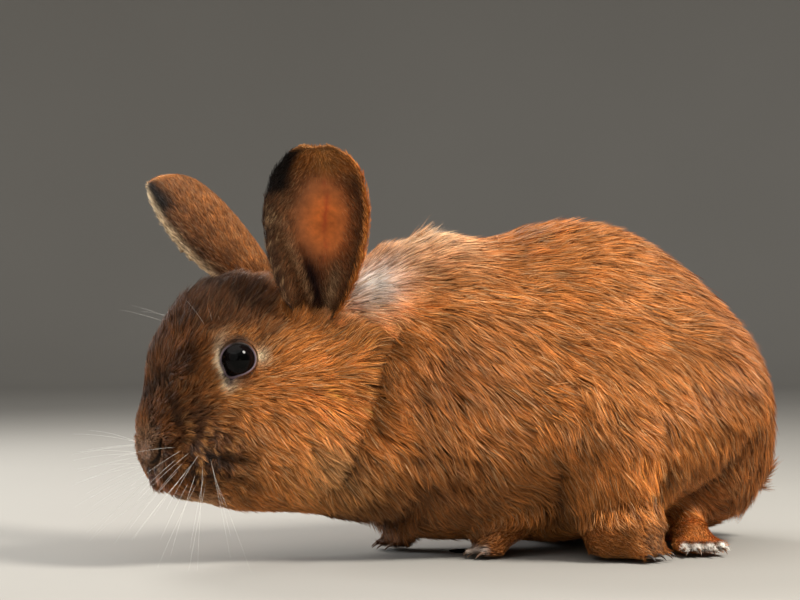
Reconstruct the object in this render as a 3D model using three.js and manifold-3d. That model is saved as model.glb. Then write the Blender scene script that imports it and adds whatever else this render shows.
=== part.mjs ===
// A life-size model of a young red rabbit crouching low, its head turned a little to its left.
// Millimetres, +Z up. The rabbit faces -Y, its left side is +X, and the floor is z = 0.
// The sizes are those of the coat's outer surface. The body is one smooth field of blended
// balls and limbs. The named pieces are skins wrapped round it, parted by thin cuts.

import * as THREE from "three";
import { mergeVertices } from "three/addons/utils/BufferGeometryUtils.js";
import Module from "manifold-3d";

const wasm = await Module();
wasm.setup();

const v3 = (x, y, z) => new THREE.Vector3(x, y, z);
const radians = THREE.MathUtils.degToRad;
const UP = v3(0, 0, 1);
const LEFT = 1;
const RIGHT = -1;

// ---- Driving sizes ----

const GAP = 0.35; // left between pieces that touch
const BIG = 600; // larger than the whole rabbit

const HEAD_PLACE = v3(5, -137, 99); // midway between the eyes
const HEAD_YAW = 17; // degrees to the rabbit's left

const EYE_RADIUS = 9.2;
const EYE_SPREAD = 22.5; // from the middle of the head to an eye's centre
const EYE_TURN = 23; // degrees that the eyes look ahead of straight sideways

const EAR_LENGTH = 99;
const EAR_HALF_WIDTH = 29; // of the two curves that give its outline
const EAR_THICKNESS = 4.4;

// ---- Frames ----

// A frame's matrix takes its own coordinates to the rabbit's.
function frame(place, yaw = 0, pitch = 0, roll = 0) {
  const made = new THREE.Group();
  made.position.copy(place);
  made.rotation.set(radians(pitch), radians(roll), radians(yaw), "ZXY");
  made.updateMatrixWorld(true);
  return made;
}

const BODY = frame(v3(0, 0, 0));
const HEAD = frame(HEAD_PLACE, HEAD_YAW);
const onHead = (x, y, z) => v3(x, y, z).applyMatrix4(HEAD.matrixWorld);

// ---- The field: below zero inside the body, above zero outside ----

// An ellipsoid, turned within its frame by yaw, pitch and roll.
function ball(centre, radii, { within = BODY, blend = 22, yaw = 0, pitch = 0, roll = 0 } = {}) {
  const inverse = frame(centre, yaw, pitch, roll).matrix.clone().premultiply(within.matrixWorld).invert();
  const p = v3();
  const distance = (point) => {
    p.copy(point).applyMatrix4(inverse).divide(radii);
    const share = p.length();
    const slope = p.divide(radii).length();
    return slope > 1e-9 ? (share * (share - 1)) / slope : -Math.min(...radii.toArray());
  };
  return { distance, blend };
}

// A round bar that tapers from one radius to another.
function limb(from, to, startRadius, endRadius, { within = BODY, blend = 16 } = {}) {
  const start = from.clone().applyMatrix4(within.matrixWorld);
  const along = to.clone().applyMatrix4(within.matrixWorld).sub(start);
  const p = v3();
  const distance = (point) => {
    p.subVectors(point, start);
    const share = THREE.MathUtils.clamp(p.dot(along) / along.lengthSq(), 0, 1);
    return p.addScaledVector(along, -share).length()
      - THREE.MathUtils.lerp(startRadius, endRadius, share);
  };
  return { distance, blend };
}

// The smooth union of several pieces of the field.
function blended(...pieces) {
  return (point) => {
    let found = pieces[0].distance(point);
    for (const { distance, blend } of pieces.slice(1)) {
      const other = distance(point);
      const near = Math.max(blend - Math.abs(found - other), 0) / blend;
      found = Math.min(found, other) - (near * near * blend) / 4;
    }
    return found;
  };
}

// ---- Skins ----

// A closed skin. place(turn, along) gives its point at a share of the way round and along.
function closedSkin(sectors, rings, place) {
  const skin = new THREE.SphereGeometry(1, sectors, rings);
  const position = skin.getAttribute("position");
  const share = skin.getAttribute("uv");
  for (let i = 0; i < position.count; i++) {
    const point = place(share.getX(i) % 1, 1 - share.getY(i));
    position.setXYZ(i, point.x, point.y, point.z);
  }
  return skin;
}

// Where a ray from inside the field leaves it.
function surfacePoint(field, from, way) {
  const SMALLEST_STEP = 0.8;
  const at = v3();
  const value = (reach) => field(at.copy(from).addScaledVector(way, reach));
  let inside = 0;
  let outside = 0;
  for (let found = value(0); found < 0; found = value(outside)) {
    inside = outside;
    outside += Math.max(SMALLEST_STEP, -0.6 * found);
  }
  for (let i = 0; i < 14; i++) {
    const middle = (inside + outside) / 2;
    if (value(middle) < 0) inside = middle;
    else outside = middle;
  }
  return from.clone().addScaledVector(way, (inside + outside) / 2);
}

// A skin wrapped round the field from a spine inside it. caps are the shares of its rings
// that round off its start and its end.
function wrap(field, spine, sectors, rings, { up = UP, caps = [0.25, 0.25] } = {}) {
  const skin = closedSkin(sectors, rings, (turn, along) => {
    const share = THREE.MathUtils.clamp((along - caps[0]) / (1 - caps[0] - caps[1]), 0, 1);
    const tangent = spine.getTangentAt(share);
    const side = v3().crossVectors(tangent, up).normalize();
    const top = v3().crossVectors(side, tangent);
    const start = Math.max(1 - along / caps[0], 0);
    const end = Math.max(1 - (1 - along) / caps[1], 0);
    const tilt = (Math.PI / 2) * (end - start);
    const flat = Math.abs(end - start) === 1 ? 0 : Math.cos(tilt);
    const way = tangent.multiplyScalar(Math.sin(tilt))
      .addScaledVector(side, flat * Math.cos(2 * Math.PI * turn))
      .addScaledVector(top, flat * Math.sin(2 * Math.PI * turn));
    return surfacePoint(field, spine.getPointAt(share), way);
  });
  return solid(skin);
}

const line = (...points) => new THREE.CatmullRomCurve3(points, false, "centripetal");

// ---- Solids ----

function solid(geometry) {
  const shape = geometry.toNonIndexed();
  shape.deleteAttribute("normal");
  shape.deleteAttribute("uv");
  const merged = mergeVertices(shape, 1e-4);
  return new wasm.Manifold(new wasm.Mesh({
    numProp: 3,
    vertProperties: merged.getAttribute("position").array,
    triVerts: new Uint32Array(merged.index.array),
  }));
}

// Everything on one side of a plane, as a large box. facing is the way to the kept side.
function halfSpace(point, facing, moved = 0) {
  const way = facing.clone().normalize();
  const turn = new THREE.Quaternion().setFromUnitVectors(UP, way);
  const centre = point.clone().addScaledVector(way, BIG / 2 + moved);
  const box = new THREE.BoxGeometry(BIG, BIG, BIG);
  box.applyMatrix4(new THREE.Matrix4().compose(centre, turn, v3(1, 1, 1)));
  return solid(box);
}

const ahead = ({ point, facing }) => halfSpace(point, facing, GAP / 2);
const behind = ({ point, facing }) => halfSpace(point, facing.clone().negate(), GAP / 2);
const aboveFloor = halfSpace(v3(0, 0, 0), UP);

// The space of an ellipsoid, for parting one piece from another.
function roundCutter({ centre, radii, pitch }, grown = 0) {
  const shape = new THREE.SphereGeometry(1, 16, 10);
  shape.scale(...radii.clone().addScalar(grown).toArray());
  shape.applyMatrix4(frame(centre, 0, pitch).matrix);
  return solid(shape);
}

const union = (shapes) => shapes.reduce((whole, shape) => whole.add(shape));
const without = (shape, others) => others.reduce((kept, other) => kept.subtract(other), shape);
const largest = (shape) => shape.decompose().sort((a, b) => b.volume() - a.volume())[0];

// ---- The body ----

const headPair = (x, y, z, radii, blend) => [LEFT, RIGHT].map((side) =>
  ball(v3(side * x, y, z), radii, { within: HEAD, blend }));

const flesh = blended(
  ball(v3(0, -14, 70), v3(50, 52, 63.5)), // chest
  ball(v3(0, -20, 108), v3(40, 42, 50.5)), // withers
  ball(v3(0, 44, 71), v3(62, 68, 68), { blend: 26 }), // belly
  ball(v3(0, 56, 99), v3(52, 76, 69), { blend: 26 }), // loins
  ball(v3(0, 103, 72), v3(56, 59.5, 62), { blend: 26 }), // rump
  ball(v3(0, 116, 50), v3(46, 49.5, 44), { blend: 20 }), // under the rump
  limb(v3(38, 104, 78), v3(50, 56, 62), 36, 30, { blend: 24 }), // left thigh
  limb(v3(50, 56, 60), v3(56, 56, 30), 29, 20, { blend: 20 }), // left knee
  limb(v3(-36, 104, 58), v3(-46, 58, 33), 36, 34, { blend: 24 }), // right thigh
  limb(v3(0, -98, 86), v3(0, -30, 98), 32, 50, { blend: 26 }), // neck
  ball(v3(0, 22, 9), v3(26, 34, 33), { within: HEAD, blend: 16 }), // braincase
  ball(v3(0, 0, 2), v3(19, 26.5, 34), { within: HEAD, blend: 12 }), // forehead
  limb(v3(0, -7.5, -8), v3(0, -15, -30), 22, 20.5, { within: HEAD, blend: 12 }), // bridge of the nose
  ball(v3(0, -14, -39), v3(20, 18, 23), { within: HEAD, blend: 10 }), // muzzle
  ball(v3(0, 20, -48), v3(22, 40, 26), { within: HEAD, blend: 14 }), // throat
  ...headPair(15, -6, -1, v3(7.5, 15, 17), 8), // round the eyes
  ...headPair(10, -16, -44, v3(12, 14, 13), 8), // whisker pads
  ...headPair(13, 34, -28, v3(22, 38, 43), 16), // jowls
  ball(v3(-15, 50, 20), v3(14, 17, 17), { within: HEAD, blend: 12 }), // root of the right ear
  ball(v3(0, -24, -43), v3(8, 8, 10), { within: HEAD, blend: 6 }), // nose
  ball(v3(0, -14, -57), v3(13, 14, 9), { within: HEAD, blend: 8 }), // chin
  ball(v3(2, -54, 54), v3(36, 38, 35), { blend: 30 }), // dewlap
);

const BEHIND_HEAD = { point: v3(0, -68, 84), facing: v3(0.26, -0.93, -0.28) };
const BEHIND_NECK = { point: v3(0, -52, 84), facing: v3(0, -0.96, 0.28) };
const LEFT_THIGH = { centre: v3(62, 74, 62), radii: v3(32, 48, 50), pitch: 14 };
const RIGHT_THIGH = { centre: v3(-58, 72, 42), radii: v3(36, 54, 52), pitch: 14 };

const headSpine = line(onHead(0, 66, -18), onHead(0, 24, -12), onHead(0, -8, -36));
const headWhole = wrap(flesh, headSpine, 28, 23, { caps: [0.05, 0.28] });
const neckWhole = wrap(flesh, line(v3(0, -92, 88), v3(0, -40, 90)), 26, 8, { caps: [0.15, 0.15] });
const torsoSpine = line(v3(0, -56, 84), v3(0, 40, 80), v3(0, 104, 72));
const torsoWhole = wrap(flesh, torsoSpine, 28, 23, { caps: [0.07, 0.26] }).intersect(aboveFloor);

// ---- Eyes ----

const eyePlace = (side, out = 0) => onHead(
  side * (EYE_SPREAD + out * Math.cos(radians(EYE_TURN))),
  2.3 - out * Math.sin(radians(EYE_TURN)),
  -0.5,
);

function eye(side, grown = 0) {
  const shape = new THREE.SphereGeometry(EYE_RADIUS + grown, 12, 8);
  shape.translate(...eyePlace(side).toArray());
  return solid(shape);
}

// The opening of the lids, which bares the outer part of the eye.
function lidOpening(side) {
  const shape = new THREE.SphereGeometry(1, 14, 9);
  shape.scale(7.5, 8.2, 8.2);
  shape.rotateZ(radians(HEAD_YAW - side * EYE_TURN));
  shape.translate(...eyePlace(side, 7.5).toArray());
  return solid(shape);
}

// ---- Ears ----

// An ear is a cupped sheet: rolled at its root, open and flatter towards its rounded tip.
function ear({ root, along, opening }) {
  const axis = along.clone().normalize();
  const across = v3().crossVectors(axis, opening).normalize();
  const out = v3().crossVectors(across, axis);
  return solid(closedSkin(18, 14, (turn, ring) => {
    const share = 1 - (1 - ring) ** 1.4; // the rings lie closer towards the tip
    const end = share === 0 || share === 1 ? 0 : 1;
    const halfWidth = end * EAR_HALF_WIDTH * (1 - (1 - share) ** 2.6) * Math.sqrt(1 - share ** 5);
    const halfAngle = radians(THREE.MathUtils.lerp(125, 42, share ** 0.6));
    const radius = halfWidth / Math.sin(Math.min(halfAngle, Math.PI / 2));
    const angle = halfAngle * Math.cos(2 * Math.PI * turn);
    const face = -Math.sin(2 * Math.PI * turn);
    const half = (end * EAR_THICKNESS * Math.min(1, 6 * share, 8 * (1 - share))) / 2;
    const reach = radius + half * Math.sign(face) * Math.sqrt(Math.abs(face));
    return root.clone()
      .addScaledVector(axis, EAR_LENGTH * share)
      .addScaledVector(out, 0.6 * radius - reach * Math.cos(angle))
      .addScaledVector(across, reach * Math.sin(angle));
  }));
}

const LEFT_EAR = {
  root: onHead(27, 44, 8),
  along: v3(0.36, -0.1, 0.93),
  opening: v3(0.94, -0.34, 0),
};
const RIGHT_EAR = {
  root: onHead(-17, 58, 27),
  along: v3(-0.52, -0.565, 0.61),
  opening: v3(-0.79, -0.62, 0),
};

// ---- Legs ----

const alongFloor = (heading) => v3(Math.cos(radians(heading)), Math.sin(radians(heading)), 0);

// A toe with its claw. heading is the way it points, in degrees from the rabbit's left
// towards its tail.
function toe(tip, heading, radius, length) {
  const bar = new THREE.CapsuleGeometry(radius, length, 1, 6);
  bar.translate(0, -length / 2 - radius, 0);
  const claw = new THREE.ConeGeometry(1.7, 8, 4);
  claw.rotateX(0.35);
  claw.translate(0, -0.5, -1);
  return union([bar, claw].map((shape) => {
    shape.rotateZ(radians(heading - 90));
    shape.translate(...tip.toArray());
    return solid(shape);
  }));
}

// Four toes side by side. tips is the middle of their tips.
const TOE_STEPS = [-1.5, -0.5, 0.5, 1.5];
const fourToes = ({ tips, heading, spacing, radius, length }, grown) => TOE_STEPS.map((step) => {
  const tip = tips.clone()
    .addScaledVector(alongFloor(heading + 90), step * spacing)
    .addScaledVector(alongFloor(heading), grown - 2 * Math.abs(step));
  return toe(tip, heading + 4 * step, radius + grown, length);
});

// A leg, or with grown above zero the room kept clear for it.
function leg({ pieces, spine, up, toes }, grown = 0) {
  const field = blended(...pieces);
  const shaft = wrap((point) => field(point) - grown, spine, 12, 9, { up });
  return union([shaft, ...fourToes(toes, grown)]);
}

const LEFT_HIND = {
  pieces: [
    limb(v3(50, 62, 50), v3(57, 57, 22), 21, 21),
    limb(v3(56, 52, 14), v3(66, 63, 9), 17, 12),
  ],
  spine: line(v3(51, 62, 46), v3(57, 57, 22), v3(64, 61, 12)),
  up: v3(1, 0, 0),
  toes: { tips: v3(80, 73, 5), heading: 36, spacing: 7, radius: 5.4, length: 14 },
};
const RIGHT_HIND = {
  pieces: [
    limb(v3(-20, 114, 16), v3(48, 101, 10), 15, 11),
  ],
  spine: line(v3(-20, 114, 14), v3(46, 101, 9)),
  up: UP,
  toes: { tips: v3(72, 98, 5), heading: -8, spacing: 7, radius: 5.6, length: 16 },
};
const LEFT_FORE = {
  pieces: [limb(v3(28, 26, 30), v3(30, 0, 9), 16, 10)],
  spine: line(v3(28, 26, 28), v3(30, 0, 9)),
  up: v3(1, 0, 0),
  toes: { tips: v3(30, -14, 4.2), heading: -90, spacing: 5.6, radius: 4.8, length: 10 },
};
const RIGHT_FORE = {
  pieces: [limb(v3(-20, -8, 32), v3(-17, -32, 9), 16, 10)],
  spine: line(v3(-20, -8, 30), v3(-17, -32, 9)),
  up: v3(1, 0, 0),
  toes: { tips: v3(-16, -45, 4.2), heading: -86, spacing: 5.6, radius: 4.8, length: 10 },
};
const legRooms = [LEFT_HIND, RIGHT_HIND, LEFT_FORE, RIGHT_FORE].map((spec) => leg(spec, 3 * GAP));

// ---- The tail ----

const TAIL = ball(v3(0, 161, 46), v3(14, 11, 24), { pitch: 8 });
const tailSkin = (grown) => wrap((point) => TAIL.distance(point) - grown,
  line(v3(0, 161, 39), v3(0, 162, 53)), 10, 10, { up: v3(0, 1, 0) });

// ---- The named pieces ----

const earShapes = [LEFT_EAR, RIGHT_EAR].map(ear);
const thighCutters = [LEFT_THIGH, RIGHT_THIGH];

const head = without(headWhole.intersect(ahead(BEHIND_HEAD)), [
  eye(LEFT, GAP),
  eye(RIGHT, GAP),
  lidOpening(LEFT),
  lidOpening(RIGHT),
]);
const neck = neckWhole.intersect(behind(BEHIND_HEAD)).intersect(ahead(BEHIND_NECK));
const trunkWhole = torsoWhole.intersect(behind(BEHIND_HEAD)).intersect(behind(BEHIND_NECK));
const trunk = without(trunkWhole, [
  ...thighCutters.map((cutter) => roundCutter(cutter, GAP)),
  ...legRooms,
  tailSkin(2 * GAP),
]);
const thighs = thighCutters.map((cutter) => without(trunkWhole.intersect(roundCutter(cutter)), legRooms));

const finish = (color, roughness) => new THREE.MeshStandardMaterial({ color, roughness, metalness: 0 });

function piece(name, shape, material) {
  const { numProp, numVert, vertProperties, triVerts } = largest(shape).getMesh();
  const places = new Float32Array(numVert * 3);
  for (let i = 0; i < numVert; i++) places.set(vertProperties.subarray(i * numProp, i * numProp + 3), 3 * i);
  const geometry = new THREE.BufferGeometry();
  geometry.setAttribute("position", new THREE.BufferAttribute(places, 3));
  geometry.setIndex(new THREE.BufferAttribute(new Uint32Array(triVerts), 1));
  geometry.computeVertexNormals();
  const made = new THREE.Mesh(geometry, material);
  made.name = name;
  return made;
}

const COAT = finish(0xa0561f, 0.85);
const EAR = finish(0x9a5228, 0.75);
const EYE = finish(0x0c0806, 0.08);

const rabbit = new THREE.Group();
rabbit.add(
  piece("head", head, COAT),
  piece("neck", neck, COAT),
  piece("trunk", trunk, COAT),
  piece("tail", tailSkin(0), COAT),
  piece("left_thigh", thighs[0], COAT),
  piece("right_thigh", thighs[1], COAT),
  piece("left_hind_foot", leg(LEFT_HIND).intersect(aboveFloor), COAT),
  piece("right_hind_foot", leg(RIGHT_HIND).intersect(aboveFloor), COAT),
  piece("left_foreleg", leg(LEFT_FORE).intersect(aboveFloor), COAT),
  piece("right_foreleg", leg(RIGHT_FORE).intersect(aboveFloor), COAT),
  piece("left_ear", without(earShapes[0], [headWhole, neckWhole]), EAR),
  piece("right_ear", without(earShapes[1], [headWhole, neckWhole]), EAR),
  piece("left_eye", eye(LEFT), EYE),
  piece("right_eye", eye(RIGHT), EYE),
);

// The middle of the rabbit's box stands over the origin.
const middle = new THREE.Box3().setFromObject(rabbit).getCenter(v3());
rabbit.position.set(-middle.x, -middle.y, 0);

export default rabbit;
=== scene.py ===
import math
from typing import NamedTuple

import bmesh
import bpy
import numpy as np
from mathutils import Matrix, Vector
from mathutils.bvhtree import BVHTree
from mathutils.kdtree import KDTree


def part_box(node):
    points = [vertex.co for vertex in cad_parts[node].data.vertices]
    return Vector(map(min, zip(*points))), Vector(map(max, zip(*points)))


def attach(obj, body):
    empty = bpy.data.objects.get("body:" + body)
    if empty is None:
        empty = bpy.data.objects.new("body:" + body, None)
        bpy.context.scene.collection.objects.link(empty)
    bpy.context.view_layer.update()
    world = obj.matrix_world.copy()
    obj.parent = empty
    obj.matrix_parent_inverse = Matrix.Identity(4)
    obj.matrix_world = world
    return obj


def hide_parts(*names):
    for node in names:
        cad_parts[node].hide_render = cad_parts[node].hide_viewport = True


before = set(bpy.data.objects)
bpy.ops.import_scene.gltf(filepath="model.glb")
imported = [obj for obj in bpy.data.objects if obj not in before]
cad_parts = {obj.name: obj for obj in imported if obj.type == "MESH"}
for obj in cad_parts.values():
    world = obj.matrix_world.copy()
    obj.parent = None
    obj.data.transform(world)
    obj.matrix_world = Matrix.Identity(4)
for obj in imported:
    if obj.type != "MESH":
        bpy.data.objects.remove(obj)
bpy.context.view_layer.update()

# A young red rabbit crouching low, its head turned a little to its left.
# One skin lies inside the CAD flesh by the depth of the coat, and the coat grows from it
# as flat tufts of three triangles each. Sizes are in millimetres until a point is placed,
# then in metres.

rng = np.random.default_rng(11)

MM = 0.001
UP = np.array([0.0, 0.0, 1.0])
SIDES = {"left": 1.0, "right": -1.0}
BAKE_MAP = "OFBake"
COLOUR = "coat_colour"  # red, green and blue of a point, and an alpha that each material explains


def mm(*values):
    """A point, or a size, given in millimetres."""
    return np.array(values, float) * MM


def unit(vectors):
    length = np.linalg.norm(vectors, axis=-1, keepdims=True)
    return vectors / np.maximum(length, 1e-12)


def mix(a, b, share):
    return a + (b - a) * share


def ramp(values, low, high):
    """0 up to low, 1 from high, and smooth between them."""
    share = np.clip((values - low) / (high - low), 0.0, 1.0)
    return share * share * (3.0 - 2.0 * share)


def fall(values, low, high):
    """1 up to low, 0 from high, and smooth between them."""
    return ramp(-values, -high, -low)


def bump(distance, radius):
    """1 at no distance, fading to nothing over about twice the radius."""
    return np.exp(-((distance / radius) ** 2))


def ripple(points, wavelength, seed):
    """Smooth noise about 0, its wavelength in millimetres."""
    waves = np.random.default_rng(seed)
    total = np.zeros(len(points))
    for _ in range(8):
        way = unit(waves.normal(size=3)) * waves.uniform(0.7, 1.5) * 2 * math.pi / (wavelength * MM)
        total += np.sin(points @ way + waves.uniform(0, 2 * math.pi))
    return total / 2


def turned(ways, normals, angles):
    """Ways turned about the normals, in radians."""
    across = np.cross(normals, ways)
    return ways * np.cos(angles)[:, None] + across * np.sin(angles)[:, None]


def away(points, place):
    """Millimetres from each point to a place."""
    return np.linalg.norm(points - place, axis=1) / MM


def rgb(red, green, blue):
    """A colour as seen, 0 to 255, in linear light."""
    shown = np.array([red, green, blue]) / 255.0
    return np.where(shown <= 0.04045, shown / 12.92, ((shown + 0.055) / 1.055) ** 2.4)


def added(name, data):
    """A new object in the scene."""
    made = bpy.data.objects.new(name, data)
    bpy.context.scene.collection.objects.link(made)
    return made


def fetched(items, key, width, kind=np.float32):
    """One row of numbers from each item."""
    found = np.empty(len(items) * width, kind)
    items.foreach_get(key, found)
    return found.reshape(-1, width)


def fill(items, key, values, kind=np.float32):
    items.foreach_set(key, np.ascontiguousarray(values, kind).ravel())


# ---- Frames of the head, the ears and the feet ----


def middle_of(node):
    low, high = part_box(node)
    return np.array((low + high) / 2)


EYES = {side: middle_of(side + "_eye") for side in SIDES}
EYE_RADIUS = 9.2 * MM
EYE_LEAN = (0.424, 0.03)  # of the eyes' axes ahead and up, to 1 sideways

HEAD_YAW = math.radians(17)
AHEAD = np.array([math.sin(HEAD_YAW), -math.cos(HEAD_YAW), 0.0])
LEFTWARDS = np.array([math.cos(HEAD_YAW), math.sin(HEAD_YAW), 0.0])
HEAD = (EYES["left"] + EYES["right"]) / 2 + 2.3 * MM * AHEAD + 0.5 * MM * UP


def on_head(left, ahead, up):
    return HEAD + (left * LEFTWARDS + ahead * AHEAD + up * UP) * MM


def head_places(points):
    """Millimetres to the head's left, ahead and up of each point."""
    from_head = (points - HEAD) / MM
    return from_head @ LEFTWARDS, from_head @ AHEAD, from_head @ UP


EAR_LENGTH = 99.0
EAR_HALF_WIDTH = 29.0
EAR_HALF_ANGLES = (125.0, 42.0)  # from the cup's middle to its rims, at root and tip, in degrees
EAR_THICKNESS = 4.4
EAR_SEAT = 0.6  # how far the cup's middle line stands off the root, as a share of its radius


class Ear:
    """A cupped sheet. A place on it is said by the share of the way from root to tip, and by
    the share of the way round the cup, which runs from -1 at one rim to 1 at the other."""

    def __init__(self, root, along, opening):
        self.root = root
        self.axis = unit(np.array(along, float))
        self.across = unit(np.cross(self.axis, np.array(opening, float)))
        self.out = np.cross(self.across, self.axis)

    def cup(self, share):
        """Radius of the cup in millimetres and the angle from its middle to its rims."""
        share = np.clip(share, 0.0, 0.995)
        half_width = EAR_HALF_WIDTH * (1 - (1 - share) ** 2.6) * np.sqrt(1 - share**5)
        half_angle = np.radians(mix(*EAR_HALF_ANGLES, share**0.6))
        return np.maximum(half_width / np.sin(np.minimum(half_angle, math.pi / 2)), 1.0), half_angle

    def share_along(self, points):
        return (points - self.root) / MM @ self.axis / EAR_LENGTH

    def places(self, points, normals):
        """Share along, share round, and how much each normal looks into the cup."""
        from_root = (points - self.root) / MM
        share = self.share_along(points)
        radius, half_angle = self.cup(share)
        across, back = from_root @ self.across, EAR_SEAT * radius - from_root @ self.out
        inwards = unit(back[:, None] * self.out - across[:, None] * self.across)
        return share, np.arctan2(across, back) / half_angle, (normals * inwards).sum(axis=1)

    def inner(self, share, turn):
        """A point of the cup's inner side."""
        radius, half_angle = self.cup(share)
        reach, angle = radius - EAR_THICKNESS / 2, turn * half_angle
        out = EAR_SEAT * radius - reach * math.cos(angle)
        from_root = EAR_LENGTH * share * self.axis + out * self.out + reach * math.sin(angle) * self.across
        return self.root + from_root * MM


EARS = {
    "left": Ear(on_head(27, -44, 8), (0.36, -0.1, 0.93), (0.94, -0.34, 0)),
    "right": Ear(on_head(-17, -58, 27), (-0.52, -0.565, 0.61), (-0.79, -0.62, 0)),
}

TOE_SETBACK = 2  # of the outer toes, in millimetres to each step from the middle
TOE_SPLAY = 4  # in degrees to each step


class Foot:
    """A foot, by the middle of its toe tips and its heading in degrees. white says how white
    its toes are, from 0 to 1, and claw is the colour of its claws."""

    def __init__(self, tips, heading, spacing, white, claw):
        self.tips = mm(*tips)
        self.heading = math.radians(heading)
        self.spacing = spacing * MM
        self.white = white
        self.claw = claw

    def way(self, aside=0.0):
        angle = self.heading + math.radians(aside)
        return np.array([math.cos(angle), math.sin(angle), 0.0])

    def toes(self):
        """The tip of each toe and the way it points."""
        for step in (-1.5, -0.5, 0.5, 1.5):
            set_back = self.way() * TOE_SETBACK * abs(step) * MM
            yield self.tips + self.way(90) * step * self.spacing - set_back, self.way(TOE_SPLAY * step)


DARK_HORN = rgb(52, 36, 28)
PALE_HORN = rgb(120, 92, 72)
FEET = {
    "left_hind_foot": Foot((79.1, 72.7, 5), 36, 7, 0.0, DARK_HORN),
    "right_hind_foot": Foot((71.1, 97.7, 5), -8, 7, 1.0, PALE_HORN),
    "left_foreleg": Foot((29.1, -14.3, 4.2), -90, 5.6, 0.4, PALE_HORN),
    "right_foreleg": Foot((-16.9, -45.3, 4.2), -86, 5.6, 0.0, PALE_HORN),
}


# ---- Skin: the flesh joined, made smooth and drawn in by the depth of the coat ----

VOXEL = 2.0 * MM
CLOSING = 0.5  # each node is grown by this, so that the thin cuts between them close
SINKING_STEPS = 6
SKIN_CLEARANCE = 0.3 * MM  # above the floor
SPREAD_STEP = 0.7  # how far a value moves to its neighbours' mean in one go
SMOOTH_STEPS = (0.6, -0.62)  # the same for points, first towards the mean and then back
COAT_DEPTH = {
    "head": 5.0,
    "neck": 6.0,
    "trunk": 6.5,
    "tail": 5.5,
    "left_thigh": 6.3,
    "right_thigh": 6.3,
    "left_hind_foot": 3.4,
    "right_hind_foot": 3.0,
    "left_foreleg": 3.0,
    "right_foreleg": 3.0,
    "left_ear": 0.9,
    "right_ear": 0.9,
    "left_eye": 0.4,
    "right_eye": 0.4,
}
FACE_DISTANCES = [0, 12, 24, 40, 60, 85, 110]  # from the tip of the nose
FACE_DEPTHS = [0.7, 1.5, 2.6, 3.4, 4.4, 5.6, 6.0]
NODES = list(COAT_DEPTH)
HEAD_NODES = ("head", "left_eye", "right_eye")
EAR_NODES = ("left_ear", "right_ear")


def node_mask(nodes, *names):
    """1 at the points that belong to the named nodes, and 0 at others."""
    return np.isin(nodes, [NODES.index(name) for name in names]).astype(float)


class Surface:
    """Points and triangles, and what follows from them."""

    def __init__(self, points, triangles):
        self.points = points
        self.triangles = triangles
        pairs = np.concatenate([triangles[:, [0, 1]], triangles[:, [1, 2]], triangles[:, [2, 0]]])
        pairs = np.unique(np.sort(pairs, axis=1), axis=0)
        self.ends = pairs[:, 0], pairs[:, 1]
        self.degree = np.maximum(np.bincount(pairs.ravel(), minlength=len(points)), 1)

    def averaged(self, values):
        """Each point's value replaced by the mean of its neighbours'."""
        a, b = self.ends
        count = len(self.points)
        table = values.reshape(count, -1)
        found = [
            np.bincount(a, column[b], count) + np.bincount(b, column[a], count)
            for column in table.T
        ]
        return (np.stack(found, axis=1) / self.degree[:, None]).reshape(values.shape)

    def spread(self, values, times):
        for _ in range(times):
            values = mix(values, self.averaged(values), SPREAD_STEP)
        return values

    def face_normals(self):
        a, b, c = (self.points[self.triangles[:, k]] for k in range(3))
        return np.cross(b - a, c - a) / 2

    def normals(self):
        faces = self.face_normals()
        count = len(self.points)
        found = np.zeros((count, 3))
        for k in range(3):
            corner = self.triangles[:, k]
            for axis in range(3):
                found[:, axis] += np.bincount(corner, faces[:, axis], count)
        return unit(found)

    def smoothed(self, times, share):
        """Moves points towards their neighbours' mean and back, so that little shrinks."""
        for _ in range(times):
            for step in SMOOTH_STEPS:
                self.points = mix(self.points, self.averaged(self.points), step * share)

    def tree(self):
        return BVHTree.FromPolygons(self.points.tolist(), self.triangles.tolist())


def grown_flesh():
    """One mesh of all nodes, each grown enough to meet its neighbours."""
    bm = bmesh.new()
    for name in NODES:
        bm.from_mesh(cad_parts[name].data)
    bmesh.ops.remove_doubles(bm, verts=bm.verts, dist=0.01 * MM)
    bm.normal_update()
    for vert in bm.verts:
        vert.co += vert.normal * (CLOSING * MM)
    mesh = bpy.data.meshes.new("flesh")
    bm.to_mesh(mesh)
    bm.free()
    return mesh


def remeshed(mesh, voxel):
    holder = added("flesh", mesh)
    modifier = holder.modifiers.new("even", "REMESH")
    modifier.mode = "VOXEL"
    modifier.voxel_size = voxel
    depsgraph = bpy.context.evaluated_depsgraph_get()
    made = bpy.data.meshes.new_from_object(holder.evaluated_get(depsgraph))
    bpy.data.objects.remove(holder)
    return made


def arrays_of(mesh):
    """Points and triangles of a mesh."""
    mesh.calc_loop_triangles()
    points = fetched(mesh.vertices, "co", 3).astype(float)
    return points, fetched(mesh.loop_triangles, "vertices", 3, np.int32)


def largest_shell(points, triangles):
    """The outer shell alone: what the voxels left inside the closed cuts goes."""
    owner = np.arange(len(points))
    while True:
        lowest = owner.copy()
        for k in range(3):
            np.minimum.at(lowest, triangles[:, k], owner[triangles].min(axis=1))
        lowest = lowest[lowest]
        if np.array_equal(lowest, owner):
            break
        owner = lowest
    kept = owner == np.bincount(owner).argmax()
    number = np.cumsum(kept) - 1
    return points[kept], number[triangles[kept[triangles[:, 0]]]]


def nearest_nodes(points):
    """The number in NODES of the node that each point lies nearest to."""
    corners, faces, owners = [], [], []
    for number, name in enumerate(NODES):
        node_points, node_faces = arrays_of(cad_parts[name].data)
        faces.append(node_faces + sum(map(len, corners)))
        corners.append(node_points)
        owners += [number] * len(node_faces)
    tree = BVHTree.FromPolygons(np.concatenate(corners).tolist(), np.concatenate(faces).tolist())
    return np.array([owners[tree.find_nearest(point)[2]] for point in points.tolist()])


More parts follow.
